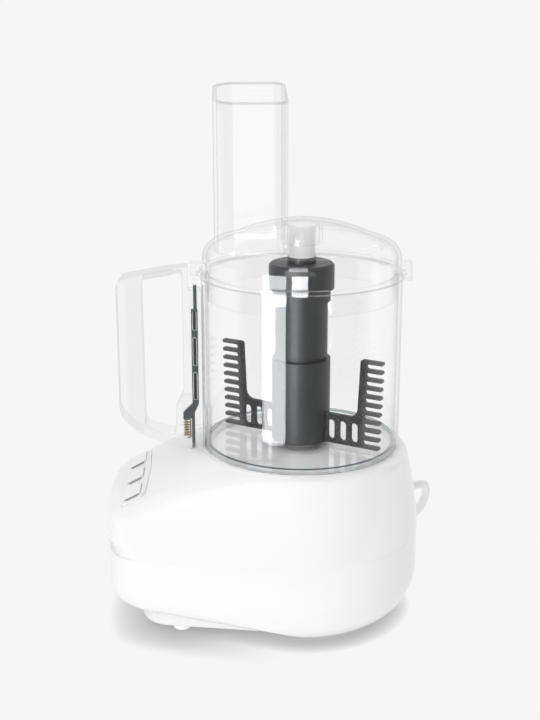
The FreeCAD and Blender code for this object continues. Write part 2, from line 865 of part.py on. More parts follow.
spindle = spindle.cut(beyond_flats(spindle_flat, spindle_radius, spindle_flat_from, spindle_top))
spindle = spindle.makeChamfer(spindle_tip_chamfer, edges_above(spindle, spindle_top))
save("spindle", turned(spindle, whisk_angle_deg))
fan_top = fan_bottom + fan_height
blade_root = fan_hub_radius - fan_blade_thickness
half_blade = fan_blade_thickness / 2
fan = tube(fan_hub_radius, core_bore, fan_bottom, fan_top)
fan = fan.fuse(tube(fan_radius, blade_root, fan_bottom, fan_bottom + fan_plate_thickness))
blade = box(blade_root, fan_radius, -half_blade, half_blade, fan_bottom, fan_top)
save("cooling_fan", fan.fuse(around(blade, fan_blades)).removeSplitter())

# Shaft seal in the deck boss
seal_bore = spindle_radius + running_gap
save("shaft_seal", tube(boss_bore + seal_wall, seal_bore, boss_top - seal_length, boss_top))

# Soft ring on the deck under the bowl
seat_ring_outer = bowl_radius - seat_ring_inset
save("bowl_seat_ring", tube(seat_ring_outer, seat_ring_outer - seat_ring_width, deck_height, seat_top))

# Bowl: wall, floor and centre chimney
bowl = revolve([
    (bowl_radius, seat_top),
    (bowl_radius, bowl_top),
    (bowl_bore, bowl_top),
    (bowl_bore, bowl_inside),
    (chimney_radius, bowl_inside),
    (chimney_radius, chimney_top),
    (chimney_bore, chimney_top),
    (chimney_bore, bowl_floor),
    (bowl_bore, bowl_floor),
    (bowl_bore, seat_top),
])
save("bowl", bowl)

# Handle: grip bar, top and bottom arms and the interlock column, with the rod's channel inside
half = handle_half_width
handle_root = bowl_radius - handle_root_depth


def side_block(corners):
    """Block as wide as the handle, drawn from the side as (distance before the bowl axis, height, radius)."""
    points = [Vector(-half, -reach, z) for reach, z, radius in corners]
    return prism(points, [radius for reach, z, radius in corners], Vector(2 * half, 0, 0))


def side_edges(shape, near, low, high):
    """Edges in the handle's two side faces, beyond a distance and within a range of heights."""
    found = []
    for edge in shape.Edges:
        room = edge.BoundBox
        flat = room.XLength < 0.01 and abs(abs(room.XMin) - half) < 0.01
        if flat and room.YMax < -near and low < room.ZMin and room.ZMax < high:
            found.append(edge)
    return found


handle = side_block([(handle_root, handle_top, 0.0)] + handle_corners + [(handle_root, handle_bottom, 0.0)])
rim_edges = [edge for edge in side_edges(handle, 0, 0, far_out) if edge.BoundBox.YMin < -handle_root - past]
handle = handle.makeFillet(handle_edge_round, rim_edges)
handle = handle.cut(side_block(hole_corners))
grip_inside = column_outer - past
hole_edges = [
    edge for edge in side_edges(handle, grip_inside, hole_bottom - past, hole_top + past)
    if edge.BoundBox.YMin > -hole_corners[1][0] - past
]
handle = handle.makeFillet(handle_hole_round, hole_edges)
grip_back = column_outer + grip_top_reach
from_above = [
    Vector(-half, 0, 0),
    Vector(-half, -grip_back, 0),
    Vector(half, -grip_back, 0),
    Vector(half, 0, 0),
]
handle = handle.common(prism(from_above, [0, grip_back_round, grip_back_round, 0], Vector(0, 0, far_out)))
handle = handle.cut(cylinder(bowl_radius + handle_glue_gap, 0, far_out))
for side in (-1, 1):
    near = side * column_half_width
    away = side * 2 * half
    column_back = -column_flare - past
    slab = box(min(near, away), max(near, away), column_back, 0, hole_bottom + 2 * past, far_out)
    handle = handle.cut(slab)
handle = handle.cut(box(-2 * half, 2 * half, -notch_reach, 0, notch_floor, far_out))
half_slot = rod_thickness / 2 + rod_gap
spring_room = spring_radius + 2 * rod_gap
channel_back = -rod_inner + rod_gap
foot_room_top = rod_strip_bottom + rod_travel + 2 * past
channel = box(-half_slot, half_slot, -rod_outer - rod_gap, channel_back, spring_seat, notch_floor + past)
foot_channel = box(
    -spring_room, spring_room, -rod_foot_outer - rod_gap, channel_back, spring_seat, foot_room_top
)
leg_channel = box(
    -half_slot, half_slot, -leg_outer - rod_gap, rod_gap - leg_inner, handle_bottom - past, spring_seat + past
)
handle = handle.cut(channel.fuse([foot_channel, leg_channel]))
save("handle", handle)

# Push rod: strip with sunk windows in both faces, thin tip, foot over the spring and a leg to the base's pin
rod_half = rod_thickness / 2
rod_middle = (rod_inner + rod_outer) / 2
tip_middle = (finger_inner + finger_outer) / 2


def rod_slab(inner, outer, low, high):
    return box(-rod_half, rod_half, -outer, -inner, low, high)


rod = rod_slab(rod_inner, rod_outer, rod_strip_bottom, rod_tip_from)
tip_inner = tip_middle - rod_tip_width / 2
rod = rod.fuse(rod_slab(tip_inner, tip_inner + rod_tip_width, rod_tip_from - past, rod_tip_top))
jog = [
    Vector(-rod_half, -rod_inner, rod_strip_bottom),
    Vector(-rod_half, -rod_outer, rod_strip_bottom),
    Vector(-rod_half, -rod_foot_outer, rod_foot_top),
    Vector(-rod_half, -rod_foot_outer, rod_foot_bottom),
    Vector(-rod_half, -leg_inner, rod_foot_bottom),
    Vector(-rod_half, -leg_inner, rod_foot_top),
]
rod = rod.fuse(Part.Face(Part.makePolygon(jog + jog[:1])).extrude(Vector(rod_thickness, 0, 0)))
rod = rod.fuse(rod_slab(leg_inner, leg_outer, handle_bottom, rod_foot_top))
half_window = rod_window_width / 2
for index in range(rod_window_count):
    low = rod_strip_bottom + rod_window_rise + (rod_window_length + rod_window_web) * index
    high = min(low + rod_window_length, rod_tip_from - rod_window_end)
    for face in (-rod_half, rod_half - rod_window_sink):
        window = [
            Vector(face, -rod_middle - half_window, low),
            Vector(face, -rod_middle - half_window, high),
            Vector(face, -rod_middle + half_window, high),
            Vector(face, -rod_middle + half_window, low),
        ]
        rod = rod.cut(prism(window, [full_round * rod_window_width] * 4, Vector(rod_window_sink, 0, 0)))
save("push_rod", rod.removeSplitter())


# Curves made of arcs, for the springs and the lead's coil

def arc_between(start, tangent, end):
    """Arc that leaves start along tangent and reaches end, or a straight line where they agree."""
    chord = end - start
    length = chord.Length
    ahead = chord / length
    cosine = max(-1.0, min(1.0, tangent.dot(ahead)))
    angle = math.acos(cosine)
    if angle < 1e-6:
        return Part.LineSegment(start, end).toShape()
    side = (tangent - ahead * cosine).normalize()
    middle = start + chord / 2 + side * (length / 2 * math.tan(angle / 2))
    return Part.Arc(start, middle, end).toShape()


def biarc(start, tangent, end, end_tangent):
    """Two arcs that leave start along tangent and reach end along end_tangent."""
    chord = end - start
    both = tangent + end_tangent
    spread = 2 * (1 - tangent.dot(end_tangent))
    lean = chord.dot(both)
    reach = (math.sqrt(lean ** 2 + spread * chord.dot(chord)) - lean) / spread
    joint = (start + tangent * reach + end - end_tangent * reach) / 2
    joint_tangent = (end - end_tangent * reach - start - tangent * reach).normalize()
    return [arc_between(start, tangent, joint), arc_between(joint, joint_tangent, end)]


def wound_tube(points, tangents, wire_radius, lead_in=0.0, lead_out=0.0):
    """One unbroken tube along arcs through points with given tangents, with straight ends."""
    edges = []
    if lead_in > 0:
        edges.append(Part.LineSegment(points[0] - tangents[0] * lead_in, points[0]).toShape())
    for index in range(len(points) - 1):
        edges += biarc(points[index], tangents[index], points[index + 1], tangents[index + 1])
    if lead_out > 0:
        edges.append(Part.LineSegment(points[-1], points[-1] + tangents[-1] * lead_out).toShape())
    path = Part.Wire(edges)
    start = points[0] - tangents[0] * lead_in
    profile = Part.Wire([Part.Circle(start, tangents[0], wire_radius).toShape()])
    return path, path.makePipeShell([profile], True, False)


def report_winding(name, path, solid, wire_radius):
    """Print a winding's length, its volume against section times length, and its least gap to itself."""
    samples = path.discretize(Distance=wire_radius)
    step = path.Length / (len(samples) - 1)
    apart = int(math.pi * 3 * wire_radius / step) + 1
    least = min(
        (samples[i] - samples[j]).Length
        for i in range(len(samples))
        for j in range(i + apart, len(samples))
    )
    ratio = solid.Volume / (math.pi * wire_radius ** 2 * path.Length)
    print(name, "length", round(path.Length, 1), "volume ratio", round(ratio, 4))
    print(name, "least gap to itself", round(least - 2 * wire_radius, 2))


def helix(centre_y, low, high, radius, turns):
    """Quarter-turn points and tangents of a helix about an upright axis in the machine's middle plane."""
    points = []
    tangents = []
    count = int(turns * 4)
    rise = (high - low) / (count * math.pi / 2)
    for index in range(count + 1):
        angle = index * math.pi / 2
        x = radius * math.cos(angle)
        y = radius * math.sin(angle)
        points.append(Vector(x, centre_y + y, low + rise * angle))
        tangents.append(Vector(-y, x, rise).normalize())
    return points, tangents


def spring(name, centre_y, floor, ceiling, radius, wire, turns):
    """Coil spring between two seats."""
    end_room = wire + seat_gap / 2
    points, tangents = helix(centre_y, floor + end_room, ceiling - end_room, radius, turns)
    path, solid = wound_tube(points, tangents, wire)
    report_winding(name, path, solid, wire)
    save(name, solid)


# Push rod spring, between its seat in the handle and the rod's foot
spring_y = spring_radius + spring_wire - rod_foot_outer
spring("push_rod_spring", spring_y, spring_seat, rod_foot_bottom, spring_radius, spring_wire, spring_turns)

# Interlock pin in the base, its spring and the switch that it works
pin = cylinder(pin_radius, pin_bottom, pin_top, 0, pin_y)
pin = pin.fuse(cylinder(pin_collar_radius, pin_collar_low, pin_collar_low + pin_collar_height, 0, pin_y))
save("interlock_pin", pin)
switch = box(
    -switch_width / 2, switch_width / 2, pin_y - switch_depth / 2, pin_y + switch_depth / 2,
    switch_top - switch_height, switch_top,
)
save("interlock_switch", switch)
pin_spring_radius = pin_radius + rod_gap + pin_spring_wire
spring(
    "interlock_spring", pin_y, switch_top, pin_collar_low,
    pin_spring_radius, pin_spring_wire, pin_spring_turns,
)

# Whisk hub with two comb wings, on a stem that holds the drive socket
hub_bore = chimney_radius + hub_bore_gap
socket_outer = spindle_radius + socket_gap + socket_wall
socket_seat = socket_outer + press_gap
hub = tube(hub_radius, hub_bore, whisk_bottom, hub_top - hub_shoulder)
hub = hub.fuse(tube(hub_radius, socket_seat, hub_top - hub_shoulder, hub_top))
save("whisk_hub", hub.removeSplitter())


def wing_plate(points, radii):
    face = Part.Face(rounded_polygon([Vector(r, -wing_thickness / 2, z) for r, z in points], radii))
    return face.extrude(Vector(0, wing_thickness, 0))


def wing_gap(near, away, low, high, radii):
    return wing_plate([(near, low), (away, low), (away, high), (near, high)], radii)


arm_top = whisk_bottom + arm_height
wing_root = hub_radius - wing_root_depth
tooth_pitch = wing_height / (tooth_count - tooth_gap_share)
tooth_gap = tooth_pitch * tooth_gap_share
gap_round = tooth_gap * full_round
tip_round = (tooth_pitch - tooth_gap) * full_round
toe_reach = wing_reach - wing_draw_in
wing = wing_plate(
    [
        (wing_root, whisk_bottom),
        (toe_reach, whisk_bottom),
        (wing_reach, wing_top),
        (wing_reach - bar_top_depth, wing_top),
        (wing_reach - bar_bottom_depth, arm_top),
        (wing_root, arm_top),
    ],
    [0, 0, 0, wing_bar_round, arm_fillet, 0],
)
for index in range(tooth_count - 1):
    low = whisk_bottom + tooth_pitch * (index + 1) - tooth_gap
    root = wing_reach - tooth_length - wing_draw_in * (1 - index / (tooth_count - 1))
    gap_end = wing_reach + tooth_gap
    wing = wing.cut(wing_gap(root, gap_end, low, low + tooth_gap, [gap_round, 0, 0, gap_round]))
tip_edges = [
    edge for edge in wing.Edges
    if edge.BoundBox.YLength > wing_thickness / 2 and edge.BoundBox.XMin > toe_reach - tip_round
]
wing = wing.makeFillet(tip_round, tip_edges)
slot_low = whisk_bottom + slot_rise
slot_first = hub_radius + slot_hub_gap
slot_last = toe_reach - tooth_length - slot_tooth_gap - slot_width
for index in range(slot_count):
    near = slot_first + (slot_last - slot_first) * index / (slot_count - 1)
    slot_round = [slot_width * full_round] * 4
    wing = wing.cut(wing_gap(near, near + slot_width, slot_low, slot_low + slot_height, slot_round))
wing = wing.cut(cylinder(hub_radius + press_gap, 0, far_out))
save("whisk_wing_right", turned(wing, whisk_angle_deg))
save("whisk_wing_left", turned(wing, whisk_angle_deg + 180))

stem = revolve([
    (socket_seat, hub_top),
    (stem_radius - stem_groove_depth, hub_top),
    (stem_radius - stem_groove_depth, hub_top + stem_groove_height),
    (stem_radius, hub_top + stem_groove_height),
    (stem_radius, stem_top),
    (0, stem_top),
    (0, socket_ceiling),
    (socket_seat, socket_ceiling),
])
save("whisk_stem", stem)
socket_low = hub_top - hub_shoulder
socket_bore = spindle_radius + socket_gap
flat_low = spindle_flat_from + past
bore = cylinder(socket_bore, socket_low, socket_ceiling)
bore = bore.cut(beyond_flats(spindle_flat + socket_gap, socket_bore, flat_low, socket_ceiling))
socket = cylinder(socket_outer, socket_low, socket_ceiling).cut(bore)
save("drive_socket", turned(socket, whisk_angle_deg))

stud_top = cap_top - stud_end_depth
collar = revolve([
    (0, stem_top),
    (collar_neck_radius, stem_top),
    (collar_neck_radius, collar_neck_top),
    (collar_radius, collar_neck_top + collar_chamfer),
    (collar_radius, collar_top - collar_chamfer),
    (collar_radius - collar_chamfer, collar_top),
    (cap_base_radius, collar_top),
    (cap_base_radius, cap_bottom),
    (stud_radius, cap_bottom),
    (stud_radius, stud_top),
    (0, stud_top),
])
save("whisk_collar", collar)
cap = cylinder(cap_radius, cap_bottom, cap_top)
cap = cap.makeFillet(cap_round, edges_above(cap, cap_top))
save("whisk_cap", cap.cut(cylinder(stud_radius + press_gap, cap_bottom, stud_top)))

# Lid: rim, shoulder and dome with the feed tube, inner skirt, tabs and bearing holder
shoulder_inner = lid_shoulder_round - lid_wall
round_centre_r = lid_side_radius - lid_shoulder_round
round_centre_z = lid_shoulder_top - lid_shoulder_round
skirt_outer = bowl_bore - lid_skirt_gap
skirt_inner = skirt_outer - lid_skirt_wall
skirt_bottom = bowl_top - lid_skirt_drop
rim_top = bowl_top + lid_rim_height
side_inner = lid_side_radius - lid_wall


def dome_mid(edge_r, edge_z, apex_z):
    """Point half way along the arc from the dome's edge to its apex."""
    rise = apex_z - edge_z
    sphere = (edge_r ** 2 + rise ** 2) / (2 * rise)
    angle = math.asin(edge_r / sphere) / 2
    return Vector(sphere * math.sin(angle), 0, apex_z - sphere * (1 - math.cos(angle)))


def round_mid(radius):
    """Point half way along a shoulder round of a given radius."""
    reach = radius * math.sqrt(0.5)
    return Vector(round_centre_r + reach, 0, round_centre_z + reach)


def at(r, z):
    return Vector(r, 0, z)


dome_foot = at(round_centre_r, lid_shoulder_top)
dome_foot_inner = at(round_centre_r, lid_shoulder_top - lid_wall)
side_corner = at(lid_side_radius, round_centre_z)
side_corner_inner = at(side_inner, round_centre_z)
apex = at(0, lid_apex)
apex_inner = at(0, lid_apex - lid_wall)
dome_outer_mid = dome_mid(round_centre_r, lid_shoulder_top, lid_apex)
dome_inner_mid = dome_mid(round_centre_r, lid_shoulder_top - lid_wall, lid_apex - lid_wall)
below_side = [
    side_corner_inner,
    at(side_inner, rim_top),
    at(skirt_inner, rim_top - lid_wall),
    at(skirt_inner, skirt_bottom),
    at(skirt_outer, skirt_bottom),
    at(skirt_outer, bowl_top),
    at(lid_rim_radius, bowl_top),
    at(lid_rim_radius, rim_top),
    at(lid_side_radius, rim_top),
    side_corner,
]
lid_edges = Part.makePolygon(below_side).Edges + [
    Part.Arc(side_corner, round_mid(lid_shoulder_round), dome_foot).toShape(),
    Part.Arc(dome_foot, dome_outer_mid, apex).toShape(),
    Part.LineSegment(apex, apex_inner).toShape(),
    Part.Arc(apex_inner, dome_inner_mid, dome_foot_inner).toShape(),
    Part.Arc(dome_foot_inner, round_mid(shoulder_inner), side_corner_inner).toShape(),
]
lid = Part.Face(Part.Wire(lid_edges)).revolve(Vector(0, 0, 0), Vector(0, 0, 1), 360)


def tube_column(grow, low, high):
    """Upright block of the feed tube's section, front corners rounder than the rear ones."""
    half_w = tube_half_width + grow
    points = [
        Vector(-half_w, -tube_front - grow, low),
        Vector(half_w, -tube_front - grow, low),
        Vector(half_w, -tube_rear + grow, low),
        Vector(-half_w, -tube_rear + grow, low),
    ]
    front = tube_front_corner + grow
    rear = tube_rear_corner + grow
    return prism(points, [front, front, rear, rear], Vector(0, 0, high - low))


above_mouth = box(-far_out, far_out, -far_out, far_out, 0, far_out)
above_mouth.rotate(Vector(0, 0, 0), Vector(0, 1, 0), tube_mouth_tilt_deg)
above_mouth.translate(Vector(0, 0, tube_mouth_middle))
column_top = tube_mouth_middle + tube_half_width
ring_outer = cap_radius + bearing_ring_gap + bearing_ring_wall
holder_inner = ring_outer + ring_holder_gap
holder_outer = holder_inner + ring_holder_wall
ring_top = lid_apex - lid_wall - ring_holder_gap - holder_inner ** 2 / (2 * round_centre_r)
ring_low = ring_top - bearing_ring_height
bore_low = collar_top
lid = lid.fuse(tube(holder_outer, holder_inner, ring_low, lid_apex - lid_wall))
lid = lid.fuse(tube_column(0, tube_foot, column_top).cut(above_mouth))
lid = lid.cut(tube_column(-tube_wall, bore_low, column_top))
lid = lid.cut(cylinder(holder_inner, bore_low, ring_top + ring_holder_gap / 2))
tab_root = lid_side_radius - lid_wall / 2
front_tab = box(-tab_half_width, tab_half_width, -tab_reach, -tab_root, bowl_top + tab_rim_gap, tab_top)
finger_low = rod_tip_top + finger_gap
finger = box(-finger_half_width, finger_half_width, -finger_outer, -finger_inner, finger_low, rim_top)
rear_tab_reach = tab_reach - rear_tab_shortfall
rear_tab_root = bowl_radius - lid_wall
rear_tab = box(-tab_half_width, tab_half_width, rear_tab_root, rear_tab_reach, rear_tab_bottom, tab_top)
rear_tab = rear_tab.cut(cylinder(bowl_radius + rear_tab_gap, rear_tab_bottom, bowl_top))
rear_tab = rear_tab.cut(cylinder(tab_root, bowl_top, tab_top))
lid = lid.fuse([front_tab, finger, rear_tab])
save("lid", lid)
save("lid_bearing", tube(ring_outer, cap_radius + bearing_ring_gap, ring_low, ring_top))

# Mains lead: gland, free stretch, put-away coil with its tie, and plug
along = Vector(1, 0, 0)


def at_gland(reach):
    return Vector(reach, 0, gland_height)


neck_start = flange_at + gland_flange_thickness
gland = Part.makeCylinder(gland_flange_radius, gland_flange_thickness, at_gland(flange_at), along)
neck = Part.makeCylinder(gland_root_radius, rear_radius - neck_start, at_gland(neck_start), along)
sleeve = Part.makeCone(gland_root_radius, gland_tip_radius, gland_length, at_gland(rear_radius), along)
save("cord_gland", turned(gland.fuse([neck, sleeve]), gland_angle_deg))

gland_way = Vector(math.cos(math.radians(gland_angle_deg)), math.sin(math.radians(gland_angle_deg)), 0)
lead_start = gland_way * (rear_radius + gland_length) + Vector(0, 0, gland_height)
lead_points = [
    lead_start,
    lead_start + gland_way * lead_first_run,
    Vector(-76.7, 98.8, 53.3),
    Vector(-83.8, 99.0, 39.2),
    Vector(-86.4, 94.1, 28.7),
    Vector(-89.9, 82.8, 17.6),
    Vector(-94.4, 65.0, 8.2),
    Vector(-98.2, 45.0, 4.6),
    Vector(-99.6, 25.0, 4.4),
    Vector(coil_start_x, 6.0, cord_floor),
    Vector(coil_start_x, coil_start_y, cord_floor),
]


def lead_path(points):
    """Straight runs joined by the largest tangent arcs that the runs allow; prints the arcs' radii."""
    edges = []
    radii = []
    here = points[0]
    for index in range(1, len(points) - 1):
        back = points[index - 1] - points[index]
        ahead = points[index + 1] - points[index]
        cut_back = 0.45 * min(back.Length, ahead.Length)
        half_turn = (math.pi - back.getAngle(ahead)) / 2
        radii.append(cut_back / math.tan(half_turn))
        way_back = Vector(back).normalize()
        way_ahead = Vector(ahead).normalize()
        start = points[index] + way_back * cut_back
        end = points[index] + way_ahead * cut_back
        edges.append(Part.LineSegment(here, start).toShape())
        edges.append(arc_between(start, way_back * -1, end))
        here = end
    edges.append(Part.LineSegment(here, points[-1]).toShape())
    print("lead radii", [round(radius, 1) for radius in radii])
    return Part.Wire(edges)


lead = lead_path(lead_points)
lead_profile = Part.Wire([Part.Circle(lead_start, gland_way, cord_radius).toShape()])
cord_lead = lead.makePipeShell([lead_profile], True, False)
lead_ratio = cord_lead.Volume / (math.pi * cord_radius ** 2 * lead.Length)
print("cord_lead length", round(lead.Length, 1), "volume ratio", round(lead_ratio, 4))
save("cord_lead", cord_lead)

# Coil: winds inwards for half of its turns, climbs one step and winds outwards above
coil_x = coil_start_x - coil_out
coil_y = coil_start_y - 2 * cord_radius
quarters = 4 * coil_turns
coil_points = []
coil_tangents = []
for index in range(quarters + 1):
    angle = -index * math.pi / 2
    from_middle = index - quarters / 2
    climb = max(-1.0, min(1.0, from_middle))
    radius = coil_out - coil_step * (quarters / 2 - abs(from_middle)) / 4
    growth = climb * coil_step / (2 * math.pi)
    slope = coil_step / math.pi if from_middle == 0 else 0.0
    height = cord_floor + coil_step * (1 + climb) / 2
    outward = Vector(math.cos(angle), math.sin(angle), 0)
    onward = Vector(math.sin(angle), -math.cos(angle), 0)
    coil_points.append(Vector(coil_x, coil_y, height) + outward * radius)
    coil_tangents.append((onward * radius + outward * growth + Vector(0, 0, slope)).normalize())
coil_tangents[0] = Vector(0, -1, 0)
coil_tangents[-1] = Vector(0, -1, 0)
coil_path, cord_coil = wound_tube(coil_points, coil_tangents, cord_radius, 2 * cord_radius, coil_tail)
report_winding("cord_coil", coil_path, cord_coil, cord_radius)
save("cord_coil", cord_coil)

# Tie: a flat band around the coil's bundle
tie_low = cord_floor - cord_radius - tie_gap
tie_high = cord_floor + coil_step + cord_radius + tie_gap
tie_near = coil_out - coil_step * coil_turns / 2 - cord_radius - tie_room
tie_far = coil_out + cord_radius + tie_room


def band(grow):
    half_width = tie_width / 2
    return box(
        tie_near - grow, tie_far + grow, -half_width, half_width, tie_low - grow, tie_high + grow
    )


tie = turned(band(tie_thickness).cut(band(0)), 90)
tie.translate(Vector(coil_x, coil_y, 0))
save("cord_tie", tie)

# Plug: moulded body with a strain relief and two flat blades
plug_z = cord_floor + coil_step
relief_end = coil_y - coil_tail
plug_face = relief_end - plug_relief_length
plug_end = plug_face - plug_length
relief = Part.makeCone(
    gland_tip_radius, gland_root_radius, plug_relief_length, Vector(coil_start_x, relief_end, plug_z),
    Vector(0, -1, 0),
)
plug_near = coil_start_x + plug_width / 2
body = box(plug_near - plug_width, plug_near, plug_end, plug_face, 0, plug_height)
body = body.makeFillet(plug_edge_round, body.Edges)
save("plug_body", relief.fuse(body))
blades = []
blade_low = plug_z - blade_width / 2
blade_high = blade_low + blade_width
for side in (-1, 1):
    blade_x = coil_start_x + side * blade_pitch / 2 - blade_thickness / 2
    blade_away = blade_x + blade_thickness
    blades.append(box(blade_x, blade_away, plug_end - blade_length, plug_end, blade_low, blade_high))
save("plug_blades", Part.makeCompound(blades))
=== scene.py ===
import math

import bpy
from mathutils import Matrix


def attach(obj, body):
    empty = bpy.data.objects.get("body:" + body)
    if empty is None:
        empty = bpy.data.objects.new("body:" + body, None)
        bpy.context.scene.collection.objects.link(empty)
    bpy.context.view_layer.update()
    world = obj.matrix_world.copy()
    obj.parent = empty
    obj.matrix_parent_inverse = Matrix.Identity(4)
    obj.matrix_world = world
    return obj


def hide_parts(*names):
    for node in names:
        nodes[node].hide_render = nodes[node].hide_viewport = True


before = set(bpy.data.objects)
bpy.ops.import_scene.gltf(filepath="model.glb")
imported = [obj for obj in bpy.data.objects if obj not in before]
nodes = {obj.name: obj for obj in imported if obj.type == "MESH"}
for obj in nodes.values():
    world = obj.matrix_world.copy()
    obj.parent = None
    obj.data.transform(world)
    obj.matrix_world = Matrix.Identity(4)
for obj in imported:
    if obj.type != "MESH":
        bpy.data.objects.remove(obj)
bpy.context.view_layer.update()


# Room and paper sweep
# A pale sweep of paper lies under the machine, with an even pale room round it. Polished faces mirror the pale
# wall behind the machine and a dim room on the camera's side. The paper keeps the shadow under the base.
class Wire:
    """A socket of a finish. Sums, products and powers of wires add Math nodes to its tree."""

    def __init__(self, tree, socket=None):
        self.tree = tree
        self.socket = socket

    def node(self, kind, settings=None, sockets=None, output=0):
        """Make any node: its settings first, then the values or wires of its sockets."""
        made = self.tree.nodes.new(kind)
        for name, value in (settings or {}).items():
            setattr(made, name, value)
        for name, value in (sockets or {}).items():
            if isinstance(value, Wire):
                self.tree.links.new(value.socket, made.inputs[name])
            else:
                made.inputs[name].default_value = value
        return Wire(self.tree, made.outputs[output])

    def beside(self, output):
        """Another output of the same node."""
        return Wire(self.tree, self.socket.node.outputs[output])

    def feed(self, target):
        self.tree.links.new(self.socket, target)

    def math(self, operation, first, second=0.0):
        return self.node("ShaderNodeMath", {"operation": operation}, {0: first, 1: second})

    def __add__(self, other):
        return self.math("ADD", self, other)

    def __radd__(self, other):
        return self.math("ADD", other, self)

    def __sub__(self, other):
        return self.math("SUBTRACT", self, other)

    def __rsub__(self, other):
        return self.math("SUBTRACT", other, self)

    def __mul__(self, other):
        return self.math("MULTIPLY", self, other)

    def __rmul__(self, other):
        return self.math("MULTIPLY", other, self)

    def __pow__(self, other):
        return self.math("POWER", self, other)

    def __abs__(self):
        return self.math("ABSOLUTE", self)

    def ramp(self, start, end):
        """From zero at the first value to one at the second, and level beyond them."""
        return self.node("ShaderNodeMapRange", sockets={"Value": self, "From Min": start, "From Max": end})

    def within(self, low, high, soft):
        """One between two limits and zero outside them, with soft ends."""
        return self.ramp(low - soft, low + soft) * self.ramp(high + soft, high - soft)

    def blend(self, first, second):
        """Colour between two tones, with this wire as the share of the second."""
        tones = [tone if isinstance(tone, Wire) else (*tone, 1.0) for tone in (first, second)]
        return self.node("ShaderNodeMix", {"data_type": "RGBA"}, {0: self, 6: tones[0], 7: tones[1]}, 2)

    def mix(self, first, second):
        """Mix of two shaders, with this wire as the share of the second."""
        return self.node("ShaderNodeMixShader", sockets={0: self, 1: first, 2: second})


PAPER = (0.9216, 0.9216, 0.9216)
SHADE = (0.36, 0.362, 0.37)
DIM = (0.13, 0.132, 0.137)
BOUNCE = (0.95, 0.95, 0.95, 1.0)
ROOM_LIGHT = (0.97, 0.985, 1.0, 1.0)
ROOM_STRENGTH = 0.42
SWEEP_WIDTH = 8.0
WALL_EDGE = (-0.45, -0.6)
LIT_EDGE = (0.20, 0.16)
NOSE_EDGE = (0.01, -0.06)
CLOSE_SHADOW = 0.0115
WIDE_SHADOW = 0.025
SHADOW_CONTRAST = 1.15


def looks(tree):
    """Light path of a stage finish: seen straight or through clear plastic, and seen as a reflection."""
    seen = Wire(tree).node("ShaderNodeLightPath", output="Is Camera Ray")
    return seen + seen.beside("Is Transmission Ray"), seen.beside("Is Glossy Ray")


world = bpy.data.worlds.new("studio_room")
bpy.context.scene.world = world
world.use_nodes = True
world.node_tree.nodes.remove(world.node_tree.nodes["Background"])
straight, mirrored = looks(world.node_tree)
way = straight.node("ShaderNodeTexCoord", output="Generated")
behind = way.node("ShaderNodeSeparateXYZ", sockets={"Vector": way}, output="X").ramp(*WALL_EDGE)
wall = way.math("MAXIMUM", behind, straight).blend(DIM, PAPER)
fill = way.node("ShaderNodeBackground", sockets={"Color": ROOM_LIGHT, "Strength": ROOM_STRENGTH})
wall_view = way.node("ShaderNodeBackground", sockets={"Color": wall, "Strength": 1.0})
(straight + mirrored).mix(fill, wall_view).feed(world.node_tree.nodes["World Output"].inputs["Surface"])

bpy.ops.object.select_all(action="DESELECT")
bpy.ops.mesh.primitive_plane_add(size=SWEEP_WIDTH, location=(0.0, 0.0, 0.0))
floor = bpy.context.object
floor.name = "paper_sweep"
paper = bpy.data.materials.new("paper")
paper.use_nodes = True
paper.node_tree.nodes.remove(paper.node_tree.nodes["Principled BSDF"])
straight, mirrored = looks(paper.node_tree)
spot = straight.node("ShaderNodeTexCoord", output="Object")
spot_x = spot.node("ShaderNodeSeparateXYZ", sockets={"Vector": spot}, output="X")
lit = spot_x.ramp(*LIT_EDGE)
under_nose = spot_x.beside("Y").ramp(*NOSE_EDGE)
close = spot.node("ShaderNodeAmbientOcclusion", {"samples": 16}, {"Distance": CLOSE_SHADOW}, "AO")
wide = spot.node("ShaderNodeAmbientOcclusion", {"samples": 16}, {"Distance": WIDE_SHADOW}, "AO")
openness = close + under_nose * (wide - close)
tone = (openness ** SHADOW_CONTRAST).blend(SHADE, PAPER)
sheet = spot.math("MAXIMUM", lit, straight).blend(DIM, tone)
bounce = spot.node("ShaderNodeEmission", sockets={"Color": BOUNCE, "Strength": 1.0})
glow = spot.node("ShaderNodeEmission", sockets={"Color": sheet, "Strength": 1.0})
(straight + mirrored).mix(bounce, glow).feed(paper.node_tree.nodes["Material Output"].inputs["Surface"])
floor.data.materials.append(paper)


# Lamps
# Four softboxes light the machine evenly, and a narrow spot overhead reaches the deck through the clear lid
# and bowl. Windows on the camera's side are what the polished bowl, column and lid mirror as pale bands.
AXIS_Y = 0.0245
SOFTBOX_AIM = (0.0, 0.0, 0.15)
WINDOW_TINT = (0.93, 0.96, 1.0)
BOWL_AND_COLUMN = ("bowl", "whisk_hub", "whisk_stem", "whisk_collar")
LID_ONLY = ("lid",)


def softbox(name, place, aim, width, height, watts):
    """An upright oblong lamp that faces a point."""
    lamp = bpy.data.lights.new(name, "AREA")
    lamp.shape = "RECTANGLE"
    lamp.size = width
    lamp.size_y = height
    lamp.energy = watts
    box = bpy.data.objects.new(name, lamp)
    bpy.context.scene.collection.objects.link(box)
    box.location = place
    way = [goal - start for goal, start in zip(aim, place)]
    flat = math.hypot(way[0], way[1])
    box.rotation_euler = (math.atan2(flat, -way[2]), 0.0, math.atan2(way[1], way[0]) - math.pi / 2)
    return box


